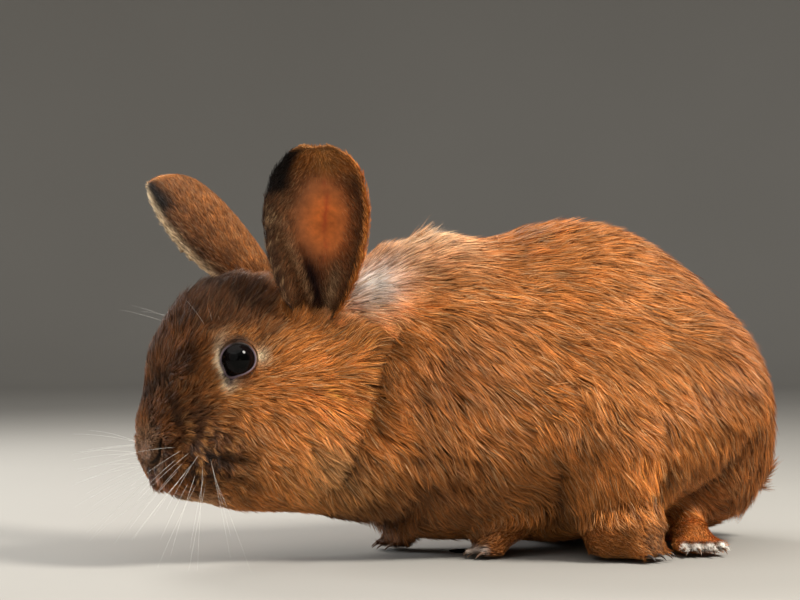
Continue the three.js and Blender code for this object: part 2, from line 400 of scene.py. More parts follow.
def divided(surface, centres, reach):
    """Splits the triangles within reach of the centres into four."""
    mesh = bpy.data.meshes.new("divided")
    mesh.from_pydata(surface.points.tolist(), [], surface.triangles.tolist())
    bm = bmesh.new()
    bm.from_mesh(mesh)
    bm.verts.ensure_lookup_table()
    near = np.zeros(len(surface.points), bool)
    for centre, radius in zip(centres, reach):
        near |= np.linalg.norm(surface.points - centre, axis=1) < radius * MM
    edges = [e for e in bm.edges if near[e.verts[0].index] and near[e.verts[1].index]]
    bmesh.ops.subdivide_edges(bm, edges=edges, cuts=1, use_grid_fill=True)
    bmesh.ops.triangulate(bm, faces=[f for f in bm.faces if len(f.verts) > 3])
    bm.to_mesh(mesh)
    bm.free()
    return Surface(*arrays_of(mesh))


NOSE_TIP = on_head(0, 33, -43)
FINE_ZONES = [
    ([on_head(0, 12, -28), on_head(28, 0, -1), on_head(-28, 0, -1)], [36, 17, 17]),
    ([on_head(0, 24, -48), on_head(29, 0, -1), on_head(-29, 0, -1)], [18, 12, 12]),
]


def nose_distance(points):
    return away(points, NOSE_TIP)


def coat_depth(surface, nodes):
    """How far the skin lies under the tips of the coat, in millimetres."""
    depth = np.array([COAT_DEPTH[name] for name in NODES])[nodes]
    face = np.interp(nose_distance(surface.points), FACE_DISTANCES, FACE_DEPTHS)
    depth = np.where(nodes == NODES.index("head"), face, depth)
    for eye in EYES.values():
        depth = mix(depth, np.minimum(depth, 1.0), bump(away(surface.points, eye), 13))
    upper_leg = node_mask(nodes, *FEET) * ramp(surface.points[:, 2], 14 * MM, 34 * MM)
    depth = mix(depth, COAT_DEPTH["left_thigh"], upper_leg)
    below = fall(surface.normals()[:, 2], -0.9, -0.4)
    depth = mix(depth, np.minimum(depth, 4.0), below)
    return surface.spread(depth, 12)


# Creases (depth above 0) and ridges (below 0): points on the head's left half, radius, depth.
FACE_LINES = {
    "nostril": (
        [(0.8, 34, -52.5), (4, 33.5, -51), (7.5, 33, -49), (10, 32, -45), (10.8, 31.5, -38)],
        1.2,
        2.2,
    ),
    "nose_wing": ([(3, 35, -47), (6, 34.5, -44), (6.5, 34.5, -39)], 2.2, -0.9),
    "philtrum": ([(0, 34, -52.5), (0, 31, -57), (0, 27, -61.5), (0, 22, -65)], 0.9, 1.8),
    "lip_ridge": ([(2.6, 32.5, -54), (4.4, 30, -59), (7, 26, -63), (12, 20, -65)], 1.7, -1.0),
    "mouth": ([(0, 22, -66), (6, 20, -66.5), (12, 14, -65.5), (18, 5, -62)], 1.4, 2.2),
    "cheek_fold": ([(24, 9, -44.5), (24, 3, -48), (26.5, -5, -49), (28, -9, -48)], 2.2, 1.4),
    "pad_low": ([(19, 8, -57), (22, 1, -60), (24, -8, -60)], 2.2, 1.2),
    "brow": ([(22, 12, 8), (26, 4, 11.5), (28, -6, 9)], 3.0, -1.1),
    "under_eye": ([(19, 19, -9), (24, 11, -14), (28, 0, -14)], 2.4, 0.8),
    "jowl": ([(59, -68, 16), (58, -61, 2), (57, -56, -15), (54, -52, -32), (47, -49, -51)], 5.0, 3.4),
    "jowl_low": ([(46, -49, -53), (40, -47, -61), (32, -43, -67)], 5.0, 1.6),
}
# The same for the body, in its own millimetres.
BODY_LINES = {
    "behind_leg": ([(76, 66, 70), (74, 72, 54), (72, 74, 40), (74, 72, 26)], 5.0, 3.6),
    "before_leg": ([(54, 22, 42), (46, 28, 26), (38, 34, 16)], 7.0, 3.5),
    "under_rump": ([(62, 124, 58), (55, 110, 38), (48, 101, 27)], 7.0, 2.2),
    "right_haunch": ([(-70, 34, 84), (-70, 16, 60), (-62, 10, 30)], 8.0, 2.2),
}


def path_points(corners, steps=8):
    """Points along a line through corners."""
    corners = np.array(corners, float)
    share = np.linspace(0, len(corners) - 1, steps * (len(corners) - 1) + 1)
    return np.stack([np.interp(share, np.arange(len(corners)), column) for column in corners.T], axis=1)


def on_both_halves(line):
    """A line on the head's left half, and its like on the right half."""
    return np.array([on_head(*place) for place in np.concatenate([line, line * [-1, 1, 1]])])


def distance_to(points, path):
    """Distance to the nearest point of a path, in millimetres, for points less than 16 away."""
    found = np.full(len(points), 1e3)
    low, high = path.min(axis=0) - 16 * MM, path.max(axis=0) + 16 * MM
    near = ((points > low) & (points < high)).all(axis=1)
    table = np.linalg.norm(points[near][:, None] - path[None], axis=2) / MM
    found[near] = table.min(axis=1)
    return found


def laid_on(surface, lines):
    """Each named line of places, laid on the skin."""
    tree = surface.tree()
    return {
        name: np.array([tree.find_nearest(place)[0] for place in line.tolist()])
        for name, line in lines.items()
    }


def line_paths(surface):
    lines = {name: on_both_halves(path_points(line[0])) for name, line in FACE_LINES.items()}
    lines.update({name: path_points(line[0]) * MM for name, line in BODY_LINES.items()})
    return laid_on(surface, lines)


def sculpt_lines(surface):
    """Sinks the creases into the skin and raises the ridges."""
    normals = surface.normals()
    move = np.zeros(len(surface.points))
    for name, path in line_paths(surface).items():
        _, radius, depth = {**FACE_LINES, **BODY_LINES}[name]
        move -= depth * bump(distance_to(surface.points, path), radius)
    surface.points += normals * (move * MM)[:, None]


# The fold that runs down inside each ear to its root: shares along and round.
EAR_FOLD = [(0.56, -0.62), (0.45, -0.46), (0.34, -0.32), (0.24, -0.2), (0.14, -0.06)]
FOLD_HEIGHT = 3.4
FOLD_RADIUS = 2.8


def sculpt_ears(surface):
    for ear in EARS.values():
        normals = surface.normals()
        looking_in = ear.places(surface.points, normals)[2]
        fold = path_points([ear.inner(*place) for place in EAR_FOLD])
        on_fold = bump(distance_to(surface.points, fold), FOLD_RADIUS)
        raised = FOLD_HEIGHT * on_fold * ramp(looking_in, 0.2, 0.6)
        surface.points += normals * (raised * MM)[:, None]


# ---- Lids: a ring of skin that hugs each eye ----

LID_RING = 96
LID_ROWS = [  # degrees out from the rim, and height above the eyeball in millimetres
    (-4.0, -0.9),
    (-1.0, 0.0),
    (0.3, 0.35),
    (2.5, 0.6),
    (5.5, 0.65),
    (9.0, 0.5),
    (12.0, 0.6),
    (16.0, 0.9),
]
LID_BLEND = (16.0, 38.0)  # from the lid's own height to the skin round it
LID_PROUD = 0.15 * MM  # the ring stands this far off the skin
LID_SINK = 0.9 * MM  # and its outer edge dips this much below that


def eye_frame(side):
    """The eye's axis, the way towards the nose and the way up, for one side."""
    axis = unit(SIDES[side] * LEFTWARDS + EYE_LEAN[0] * AHEAD + EYE_LEAN[1] * UP)
    front = unit(AHEAD - axis * (AHEAD @ axis))
    up = np.cross(front, axis)
    return axis, front, up if up[2] > 0 else -up


def out_of_eye(side, angle, turn):
    """The way out of an eye, by the angle from its axis and the turn round it."""
    axis, front, up = eye_frame(side)
    return axis * math.cos(angle) + (front * math.cos(turn) + up * math.sin(turn)) * math.sin(angle)


def apart(turn, degrees):
    """How far round the eye each turn is from a place given in degrees."""
    return np.abs((turn - math.radians(degrees) + math.pi) % (2 * math.pi) - math.pi)


def rim_angle(turn):
    """Degrees from the axis to the rim of the lids. turn runs from the nose over the top."""
    level = 60.0 - 9.0 * np.sin(turn) ** 2
    return level + 20.0 * bump(apart(turn, -60), 0.3) - 5.0 * bump(apart(turn, -125), 0.5)


def eye_angles(side, points):
    """Degrees from the eye's axis, the turn round it and the distance, of each point."""
    axis, front, up = eye_frame(side)
    from_eye = points - EYES[side]
    distance = np.linalg.norm(from_eye, axis=1)
    way = from_eye / distance[:, None]
    angle = np.degrees(np.arccos(np.clip(way @ axis, -1, 1)))
    return angle, np.arctan2(way @ up, way @ front), distance


def beyond_rim(side, points):
    """Millimetres across from the rim of the lids outwards, the turn, and 1 near the eye."""
    angle, turn, distance = eye_angles(side, points)
    across = distance * np.sin(np.radians(angle)) / MM
    beyond = across - EYE_RADIUS / MM * np.sin(np.radians(np.minimum(rim_angle(turn), 90)))
    near = fall(distance / MM, 22, 28) * fall(angle, 96, 112)
    return beyond, turn, near


def clear_sockets(surface):
    """Draws the skin in behind the part of each eyeball that shows."""
    for side in SIDES:
        angle, turn, distance = eye_angles(side, surface.points)
        outside = ramp(angle, rim_angle(turn) + 9, rim_angle(turn) + 17)
        near = (distance < EYE_RADIUS + 6 * MM) & (angle < 100)
        wanted = mix(EYE_RADIUS - 2.2 * MM, distance, outside)
        shift = np.where(near, wanted / distance, 1.0)[:, None]
        surface.points = EYES[side] + (surface.points - EYES[side]) * shift


def ring_triangles(rings, sides):
    """Triangles of a tube, whose points come ring by ring."""
    ring, k = np.meshgrid(np.arange(rings - 1), np.arange(sides), indexing="ij")
    a = (ring * sides + k).ravel()
    b = (ring * sides + (k + 1) % sides).ravel()
    return np.stack([a, b, b + sides, a, b + sides, a + sides], axis=1).reshape(-1, 3)


def lid(surface, side):
    """The ring's points and triangles, its outer edge laid on the skin."""
    tree = surface.tree()
    rows = LID_ROWS + [(degrees, None) for degrees in np.linspace(*LID_BLEND, 10)[1:]]
    points = []
    for degrees, height in rows:
        for turn in np.linspace(0, 2 * math.pi, LID_RING, endpoint=False):
            way = out_of_eye(side, math.radians(rim_angle(turn) + degrees), turn)
            reach = EYE_RADIUS + (height if height is not None else LID_ROWS[-1][1]) * MM
            if height is None:
                hit = tree.ray_cast(Vector(EYES[side] + way * 30 * MM), Vector(-way))[0]
                skin_reach = reach if hit is None else (Vector(EYES[side]) - hit).length
                share = float(ramp(degrees, *LID_BLEND))
                reach = mix(reach, max(skin_reach + LID_PROUD - LID_SINK * share**6, 0), share)
            points.append(EYES[side] + way * reach)
    triangles = ring_triangles(len(rows), LID_RING)
    return np.array(points), triangles if side == "right" else triangles[:, [0, 2, 1]]


def make_skin():
    """The skin, the node that each point belongs to, and the depth of the coat there."""
    surface = Surface(*largest_shell(*arrays_of(remeshed(grown_flesh(), VOXEL))))
    nodes = nearest_nodes(surface.points)
    flexible = surface.spread(1.0 - 0.75 * node_mask(nodes, *EAR_NODES), 4)[:, None]
    surface.smoothed(10, flexible)
    depth = coat_depth(surface, nodes)
    for _ in range(SINKING_STEPS):
        surface.points -= surface.normals() * ((depth + CLOSING) / SINKING_STEPS * MM)[:, None]
        surface.smoothed(2, flexible)
    for centres, reach in FINE_ZONES:
        surface = divided(surface, centres, reach)
        surface.smoothed(3, 0.8)
    sculpt_lines(surface)
    sculpt_ears(surface)
    clear_sockets(surface)
    for side in SIDES:
        points, triangles = lid(surface, side)
        surface = Surface(
            np.concatenate([surface.points, points]),
            np.concatenate([surface.triangles, triangles + len(surface.points)]),
        )
    surface.points[:, 2] = np.maximum(surface.points[:, 2], SKIN_CLEARANCE)
    nodes = nearest_nodes(surface.points)
    return surface, nodes, coat_depth(surface, nodes)


# ---- Markings, with painted light and shade, the same for skin and coat ----

RUST = rgb(184, 114, 54)
DEEP_RUST = rgb(150, 88, 40)
BROWN = rgb(98, 57, 27)
DUSK = rgb(56, 33, 17)
GOLD = rgb(222, 152, 82)
AMBER = rgb(240, 146, 66)
PALE_HAIR = rgb(226, 188, 138)
CREAM = rgb(248, 222, 184)
WHITE = rgb(255, 252, 246)
TAN = rgb(196, 158, 118)
DARK = rgb(22, 14, 10)
LID = rgb(112, 97, 108)
LIP = rgb(150, 118, 112)
NOSE_FUR = rgb(138, 100, 72)
# painted light, shining through the middle of the ear from behind
EAR_BACKLIT_GLOW = rgb(222, 116, 46)
EAR_SKIN = rgb(112, 70, 40)
# painted shade in the ear beside its fold
EAR_HOLLOW_SHADE = rgb(44, 18, 16)
VEIN = rgb(176, 52, 26)


def spot(points, centre, radius):
    return bump(away(points, centre), radius)


def oval(u, v, centre, radii):
    """1 at the centre of an oval, fading outwards."""
    return bump(np.hypot((u - centre[0]) / radii[0], (v - centre[1]) / radii[1]), 1.0)


def layered(values, *layers):
    """Lays each layer's value over what is there, by its share at each point."""
    for value, share in layers:
        values = mix(values, value, np.clip(share, 0, 1)[:, None])
    return values


def along_lines(points, within, *lines):
    """Layers along creases and ridges: the name, radius, colour and share of each."""
    for name, radius, colour, share in lines:
        yield colour, within * bump(distance_to(points, PATHS[name]), radius) * share


def on_pads(points, inner, outer):
    """1 on the whisker pads, which begin between two distances from the middle of the face."""
    left, ahead, up = head_places(points)
    return ramp(np.abs(left), inner, outer) * bump(np.hypot(ahead - 14, up + 46), 17)


def whisker_spots():
    """Places of the whisker roots: ahead and up on the head, in rows on each pad."""
    for row in range(4):
        for column in range(5 - row // 3):
            yield 22.0 - 4.4 * column - 1.2 * row, -41.0 - 5.0 * row - 0.7 * column


def past_lids(beyond, turn):
    """Millimetres beyond the lids' bare ring, which runs out to a point at the front corner."""
    return beyond - 0.6 - 3.6 * bump(apart(turn, -62), 0.26)


def lid_share(beyond, turn):
    return fall(past_lids(beyond, turn), 0, 0.5)


def eye_marks(colours, points, side):
    """A cream crescent before the eye, a tan patch behind it and dark lids above."""
    beyond, turn, near = beyond_rim(side, points)
    past_lid = past_lids(beyond, turn)
    lids = near * lid_share(beyond, turn)
    front = bump(apart(turn, -24), 0.8)
    back = bump(apart(turn, 176), 0.32)
    top = bump(apart(turn, 98), 0.8)
    return layered(
        colours,
        (RUST, near * top * bump(beyond - 4.2, 1.8) * 0.6),
        (GOLD, near * bump(apart(turn, -75), 0.8) * bump(beyond - 8.0, 4) * 0.5),
        (CREAM, near * front * fall(past_lid, 4.2, 7.0) * 1.6),
        (WHITE, near * front * fall(past_lid, 2.4, 5.0) * 0.8),
        (CREAM, near * back * fall(beyond, 3.0, 7.0) * 0.9),
        (DUSK, near * bump(apart(turn, 146), 0.13) * bump(beyond - 7.0, 5) * 0.8),
        (DUSK, near * top * fall(beyond, 2.6, 4.8) * 0.95),
        (LID, lids),
        (DARK, lids * np.maximum(top * 1.6, fall(beyond, 0, 0.4) * 0.8)),
    )


def muzzle_marks(colours, points, head):
    """Whisker pads tousled with painted highlights and painted shade, a grey-brown nose, painted shade in the
    creases and pale lips.
    """
    left, ahead, up = head_places(points)
    patches = ripple(points, 7, 3) + 0.5 * ripple(points, 3.5, 4)
    pad = head * on_pads(points, 9, 13)
    nose = head * fall(nose_distance(points), 9, 14)
    colours = layered(
        colours,
        (BROWN, pad * 1.1),
        # Painted highlights on the pads' lumps and painted shade in the gaps between them.
        (GOLD, pad * ramp(patches, 0.5, 1.6) * 0.7),
        (DARK, pad * fall(patches, -0.9, 0.3) * 0.95),
        (NOSE_FUR, nose * 0.95),
        (DUSK, nose * ramp(ripple(points, 5, 5), 0.4, 1.6) * 0.5),
        *along_lines(
            points,
            head,
            # Painted shade in the cheek fold, under the pad, in the nostrils, in the middle of the lip and
            # along the mouth; the lip ridge and philtrum are pale skin.
            ("cheek_fold", 2.2, DUSK, 0.75),
            ("pad_low", 1.8, DUSK, 0.6),
            ("lip_ridge", 1.4, LIP, 0.5),
            ("nostril", 1.2, DARK, 1.1),
            ("philtrum", 0.9, LIP, 0.8),
            ("philtrum", 0.5, DARK, 0.8),
            ("mouth", 1.4, DARK, 0.9),
        ),
    )
    beside = head * ramp(np.abs(left), 10, 12)
    for spot_ahead, spot_up in whisker_spots():
        root = np.hypot(ahead - spot_ahead, up - spot_up)
        colours = layered(colours, (DARK, beside * bump(root, 1.4) * 0.85))
    return colours


def ear_marks(colours, points, normals, nodes, side):
    """Seen into, an ear glows orange round its middle with painted light from behind, and has painted shade
    beside its fold. Its front rim is dark, its back rim gold, partly as a painted highlight; the right ear's
    rims get painted rim light.
    """
    share, turn, looking_in = EARS[side].places(points, normals)
    back = SIDES[side] * turn
    on_ear = node_mask(nodes, side + "_ear")
    inside = on_ear * ramp(looking_in, -0.1, 0.35)
    outside = on_ear - inside
    front = on_ear * fall(back, -0.7, -0.4)
    front_rim = on_ear * fall(back, -0.85, -0.62)
    under_tip = fall(share, 0.65, 0.75)
    vein = bump(back - 0.13 - 0.02 * np.sin(share * 30), 0.03) * bump(share - 0.6, 0.2)
    past_fold = back - np.interp(share, [0.14, 0.56], [-0.06, -0.62])
    # Painted shade in the ear, just beside the fold.
    hollow = oval(past_fold, share, (0.12, 0.27), (0.26, 0.15)) * ramp(past_fold, 0.0, 0.1)
    on_fold = bump(past_fold + 0.05, 0.06) * ramp(share, 0.12, 0.2) * fall(share, 0.46, 0.58)
    colours = layered(
        colours,
        (RUST, on_ear),
        (BROWN, outside * (0.5 + 0.35 * fall(back, -0.7, -0.1))),
        (DUSK, outside * ramp(ripple(points, 6, 10), 0.3, 1.6) * 0.3),
        (EAR_SKIN, inside),
        (BROWN, inside * ramp(back, 0.4, 0.65) * 0.75),
        (DUSK, inside * ramp(back, 0.68, 0.85) * fall(back, 0.9, 0.97) * 0.7),
        (TAN, inside * oval(back, share, (-0.1, 0.64), (0.6, 0.24)) * 0.3),
        # Painted light through the middle of the ear.
        (EAR_BACKLIT_GLOW, inside * oval(back, share, (0.12, 0.59), (0.46, 0.21))),
        (VEIN, inside * vein * 0.6),
        (EAR_HOLLOW_SHADE, inside * hollow * 1.3),
        (TAN, inside * on_fold * 0.5),
        (TAN, inside * bump(back - 0.42, 0.16) * fall(share, 0.3, 0.42) * 0.5),
        (RUST, inside * ramp(share, 0.76, 0.88) * 0.9),
        (GOLD, inside * ramp(share, 0.78, 0.88) * bump(back - 0.15, 0.25) * 0.7),
        # The back rim: its own orange fur, brightened as a painted highlight.
        (AMBER, on_ear * ramp(back, 0.84, 0.93) * 1.1),
        (GOLD, on_ear * ramp(share, 0.9, 0.97) * 0.7),
        (DUSK, front_rim * under_tip * 0.8),
        (TAN, front_rim * ramp(ripple(points, 2.5, 6), 0.5, 1.2) * under_tip * 0.8),
        (DARK, front * ramp(share, 0.68, 0.76) * fall(share, 0.94, 0.985)),
    )
    if side == "right":
        # Painted rim light along both edges of the right ear.
        rims = ramp(np.abs(back), 0.78, 0.93) * ramp(share, 0.25, 0.35)
        colours = layered(colours, (CREAM, on_ear * rims * 0.8))
    return colours


def foot_marks(colours, points, on_foot, foot):
    """White toes with painted shade in the clefts between them."""
    for tip, way in foot.toes():
        from_tip = (points - tip) / MM
        beside = from_tip @ np.cross(UP, way)
        distance = np.hypot(np.linalg.norm(from_tip, axis=1), 1.3 * beside)
        colours = layered(colours, (WHITE, on_foot * foot.white * fall(distance, 6.5, 8.5) * 1.2))
    # Painted shade in the clefts between the toes.
    across = (points - foot.tips) @ foot.way(90) / foot.spacing
    cleft_shade = bump(across - np.round(across), 0.3) * fall(np.abs(across), 1.3, 1.5)
    behind_tips = (foot.tips - points) @ foot.way() / MM
    return layered(colours, (DUSK, on_foot * cleft_shade * fall(behind_tips, 7, 13) * 0.75))


def coat_marks(points, normals, head):
    """The coat's broad colours, painted light and shade among them, before the marks of eyes, muzzle, ears
    and feet.
    """
    left, ahead, up = head_places(points)
    body = 1 - head
    blurred = ahead + 2.5 * ripple(points, 13, 31)
    chest = fall(points[:, 1], -30 * MM, 30 * MM) * fall(points[:, 2], 35 * MM, 80 * MM)
    chest = chest * np.maximum(body, fall(ahead, -54, -46))
    colours = layered(
        np.tile(RUST, (len(points), 1)),
        (GOLD, 0.3 * fall(normals[:, 2], -0.95, -0.3) * body),
        (DEEP_RUST, 0.4 * ramp(normals[:, 2], 0.4, 0.95) * body),
        # The front of the face darkens: partly its own brown, partly painted shade on the side turned from
        # the light.
        (DEEP_RUST, head * ramp(ahead, -4, 16) * 0.8),
        (BROWN, head * ramp(blurred, 3, 27) * ramp(up, -42, -20) * 0.95),
        (BROWN, head * bump(np.hypot(left, up - 28), 26) * 0.75),
        (DUSK, head * ramp(blurred, 12, 28) * ramp(ripple(points, 12, 7), -0.6, 1.4) * 0.8),
        (DUSK, head * bump(np.hypot(ahead - 20, up + 32), 8) * 0.8),
        (BROWN, head * ramp(up, 4, 12) * ramp(ahead, -34, -14) * 0.95),
        (DUSK, head * ramp(up, 6, 16) * ramp(ahead, -30, -6) * 0.65),
        # Painted shade on the chest, darkest just behind the jowls.
        (BROWN, chest * 0.7),
        (DUSK, chest * bump(points[:, 1] / MM + 72, 26) * 0.75),
        (DEEP_RUST, body * ramp(points[:, 1], 60 * MM, 130 * MM) * 0.85),
    )
    # Painted light on both jowls over their own golden fur: amber on the back of each cheek, gold and pale
    # hair low on it.
    for sign in SIDES.values():
        colours = layered(
            colours,
            (AMBER, head * spot(points, on_head(sign * 52, -44, -24), 32) * 0.9),
            (GOLD, head * spot(points, on_head(sign * 44, -40, -56), 22) * 0.8),
            (PALE_HAIR, head * spot(points, on_head(sign * 44, -43, -50), 11) * 0.55),
        )
    return layered(
        colours,
        # Painted shade on the neck behind the left jowl.
        (DEEP_RUST, body * spot(points, mm(52, -38, 98), 24) * 0.8),
        # Painted light on the back of the left jowl.
        (GOLD, head * spot(points, mm(40, -70, 96), 20) * 0.5),
        (AMBER, spot(points, mm(40, -58, 116), 13) * 1.3),
        (AMBER, spot(points, mm(74, 58, 50), 16) * 0.5),
        # Painted shade in the creases behind the jowls, round the left hind leg and under the rump.
        *along_lines(
            points,
            1.0,
            ("jowl", 4.0, DUSK, 0.6),
            ("jowl_low", 3.0, DUSK, 0.4),
            ("behind_leg", 4.0, DUSK, 0.5),
            ("before_leg", 8.0, DUSK, 0.7),
            ("under_rump", 6.0, DUSK, 0.45),
        ),
        (CREAM, spot(points, on_head(0, 8, -70), 10) * 0.45),
    )


def marking(points, normals, nodes):
    """Colour of the skin and coat at each point, painted light and shade among it."""
    head = node_mask(nodes, *HEAD_NODES)
    colours = muzzle_marks(coat_marks(points, normals, head), points, head)
    for side in SIDES:
        colours = eye_marks(colours, points, side)
    colours = layered(
        colours,
        # A pale patch on the withers, partly a paler tint and partly painted rim light.
        (CREAM, spot(points, mm(6, -34, 156), 22) * 0.5),
        (GOLD, spot(points, mm(26, -64, 130), 20) * 0.9),
        (WHITE, spot(points, mm(22, -68, 137), 13) * 1.9),
        # Painted light on the right hind foot, which lies in the body's shadow.
        (AMBER, node_mask(nodes, "right_hind_foot") * 0.7),
    )
    for side in EARS:
        colours = ear_marks(colours, points, normals, nodes, side)
    for name, foot in FEET.items():
        colours = foot_marks(colours, points, node_mask(nodes, name), foot)
    mottled = 1 + 0.09 * ripple(points, 16, 8) + 0.07 * ripple(points, 7, 9)
    return colours * mottled[:, None].clip(0.6, 1.4)


def bareness(points, normals, nodes):
    """1 where the skin is bare: lids, nostrils, lips and the middle of the ears."""
    bare = np.zeros(len(points))
    for side, sign in SIDES.items():
        beyond, turn, near = beyond_rim(side, points)
        bare = np.maximum(bare, near * lid_share(beyond, turn))
        share, turn, looking_in = EARS[side].places(points, normals)
        middle = fall(np.hypot((sign * turn - 0.06) / 0.6, (share - 0.59) / 0.27), 0.6, 1.15)
        bare = np.maximum(bare, node_mask(nodes, side + "_ear") * ramp(looking_in, 0.2, 0.5) * middle)
    for name, radius in (("nostril", 1.0), ("philtrum", 0.7), ("mouth", 0.7)):
        bare = np.maximum(bare, bump(distance_to(points, PATHS[name]), radius))
    return bare


# ---- The lie of the coat ----


def lie_of_coat(surface, nodes, normals):
    """The way the hair points at each point of the skin, along the skin."""
    points = surface.points
    left, ahead, up = head_places(points)
    y = points[:, 1] / MM
    head = node_mask(nodes, *HEAD_NODES)
    flank = ramp(1 - np.abs(normals[:, 2]), 0.1, 0.8)
    chest = np.maximum(node_mask(nodes, "neck"), fall(y, -30, 10)) * fall(normals[:, 2], -0.2, 0.5)
    below = fall(normals[:, 2], -0.9, -0.5) * (1 - node_mask(nodes, "head"))
    cheek = ramp(np.abs(left), 12, 26) * fall(up, -24, -2) * fall(ahead, -4, 24)
    from_nose = unit(points - on_head(0, 36, -38))
    face = unit(from_nose + np.array([0, 0, -0.85]) * cheek[:, None] + UP * 0.2 * ramp(up, 0, 30)[:, None])
    way = layered(
        np.stack([0.1 * np.sign(points[:, 0]), np.full(len(points), 1.0), -0.75 * flank], axis=1),
        ((0.0, 0.35, -1.0), ramp(y, 70, 150)),
        ((0.0, 0.55, -0.9), node_mask(nodes, "left_thigh", "right_thigh")),
        ((0.0, 0.6, -0.85), chest),
        ((0.0, 1.0, 0.0), below),
        ((0.0, 0.3, 1.0), node_mask(nodes, "tail")),
        (face, head),
    )
    for side, ear in EARS.items():
        _, turn, looking_in = ear.places(points, normals)
        inwards = -np.sign(turn) * ramp(looking_in, 0.0, 0.4) * ramp(np.abs(turn), 0.15, 0.4)
        ear_way = ear.axis + 0.8 * inwards[:, None] * ear.across
        way = layered(way, (ear_way, node_mask(nodes, side + "_ear")))
    low = fall(points[:, 2], 10 * MM, 26 * MM)[:, None]
    for name, foot in FEET.items():
        foot_way = mix(np.array([0.0, 0.2, -1.0]), foot.way() - 0.25 * UP, low)
        way = layered(way, (foot_way, node_mask(nodes, name)))
    way = unit(way)
    for _ in range(3):
        way = surface.spread(way, 4)
        way = unit(way - normals * (way * normals).sum(axis=1, keepdims=True))
    pad = head * on_pads(points, 7, 12)
    brow = head * ramp(ahead, 4, 16) * ramp(up, -30, -10)
    furry = 1 - node_mask(nodes, *EAR_NODES)
    swirl = furry * (0.12 * ripple(points, 26, 21) + 0.1 * ripple(points, 11, 22))
    swirl += pad * 0.8 * ripple(points, 9, 23) + brow * 0.25 * ripple(points, 10, 24)
    return unit(turned(way, normals, swirl))


# ---- Tufts ----

PATCH = 0.003  # a tuft's width in the bake's map
ROLL = 0.55  # how much the tufts' rolls about their length differ, in radians
ROOT_DEPTH = 0.25 * MM  # of a tuft's root under the skin
MIDDLE_AT = 0.45  # of a tuft's length
TIP_LIFT = 0.2  # how steeply a tuft rises beyond its middle, to 1 before it
LIFT_LIMITS = (0.12, 1.12)  # in radians
LIFTED_SHARE = 0.53  # of its length that takes a tuft up through the coat
HAIR_CLEARANCE = 0.25 * MM  # above the floor
MUZZLE_END, FACE_END = 38, 66  # from the tip of the nose
SHOULDERS_END = 36 * MM
DARK_SHARE = 0.16  # of the tufts
PALE_SHARE = 0.17


class Coat(NamedTuple):
    """One piece of the coat."""

    nodes: tuple  # whose skin it grows from
    tufts: int
    clump: int  # tufts to a lock
    tousle: float  # how much the locks differ in their lie, in radians
    zone: object = None  # says which points of that skin it grows from


def nose_zone(low, high):
    """Points between two distances from the tip of the nose."""
    return lambda points: (nose_distance(points) >= low) & (nose_distance(points) < high)


COATS = {
    "coat_muzzle": Coat(("head",), 50000, 12, 0.26, nose_zone(0, MUZZLE_END)),
    "coat_face": Coat(HEAD_NODES, 60000, 8, 0.1, nose_zone(MUZZLE_END, FACE_END)),
    "coat_cheeks": Coat(("head",), 62000, 8, 0.1, nose_zone(FACE_END, math.inf)),
    "coat_ears": Coat(EAR_NODES, 56000, 5, 0.1),
    "coat_neck": Coat(("neck",), 42000, 8, 0.11),
    "coat_shoulders": Coat(("trunk",), 65000, 8, 0.11, lambda points: points[:, 1] < SHOULDERS_END),
    "coat_back": Coat(("trunk",), 65000, 8, 0.11, lambda points: points[:, 1] >= SHOULDERS_END),
    "coat_haunches": Coat(("left_thigh", "right_thigh", "tail"), 54000, 8, 0.11),
    "coat_feet": Coat(tuple(FEET), 38000, 6, 0.06),
}


def tuft_length(points, depth, nodes):
    """Length of the hair in millimetres."""
    length = np.interp(depth, [0.0, 1.0, 3.0, 4.5, 6.5], [1.6, 3.2, 6.8, 10.0, 16.0])
    on_ear = node_mask(nodes, *EAR_NODES)
    length = mix(length, 3.6, on_ear)
    for ear in EARS.values():
        share = ear.share_along(points)
        length = mix(length, 2.6, on_ear * ramp(share, 0.93, 0.97) * fall(share, 1.0, 1.1))
    feet = node_mask(nodes, *FEET) * fall(points[:, 2], 12 * MM, 24 * MM)
    length = mix(length, 3.2, feet)
    length = mix(length, np.minimum(length, 2.2), fall(nose_distance(points), 8, 13))
    for side in SIDES:
        beyond, turn, near = beyond_rim(side, points)
        length = mix(length, np.minimum(length, 1.7), near * fall(past_lids(beyond, turn), 2, 5.5))
    for name in ("nostril", "philtrum", "mouth"):
        length = mix(length, 0.9, bump(distance_to(points, PATHS[name]), 2.0) * 0.85)
    return length


def scatter(surface, density, count):
    """Roots spread over the skin: the triangle of each, and its share of the corners."""
    size = np.linalg.norm(surface.face_normals(), axis=1)
    total = np.cumsum(size * density[surface.triangles].mean(axis=1))
    wanted = (np.arange(count) + rng.random(count)) / count * total[-1]
    picked = np.searchsorted(total, wanted).clip(0, len(total) - 1)
    a, b = rng.random((2, count))
    over = a + b > 1
    a[over], b[over] = 1 - a[over], 1 - b[over]
    return picked, np.stack([1 - a - b, a, b], axis=1)


def lock_leaders(roots, clump):
    """For each tuft, the number of the tuft that leads its lock."""
    leaders = np.arange(0, len(roots), clump) + rng.integers(0, clump, len(roots[::clump]))
    leaders = np.minimum(leaders, len(roots) - 1)
    tree = KDTree(len(leaders))
    for number, leader in enumerate(leaders):
        tree.insert(roots[leader], number)
    tree.balance()
    return leaders[[tree.find(root)[1] for root in roots.tolist()]]


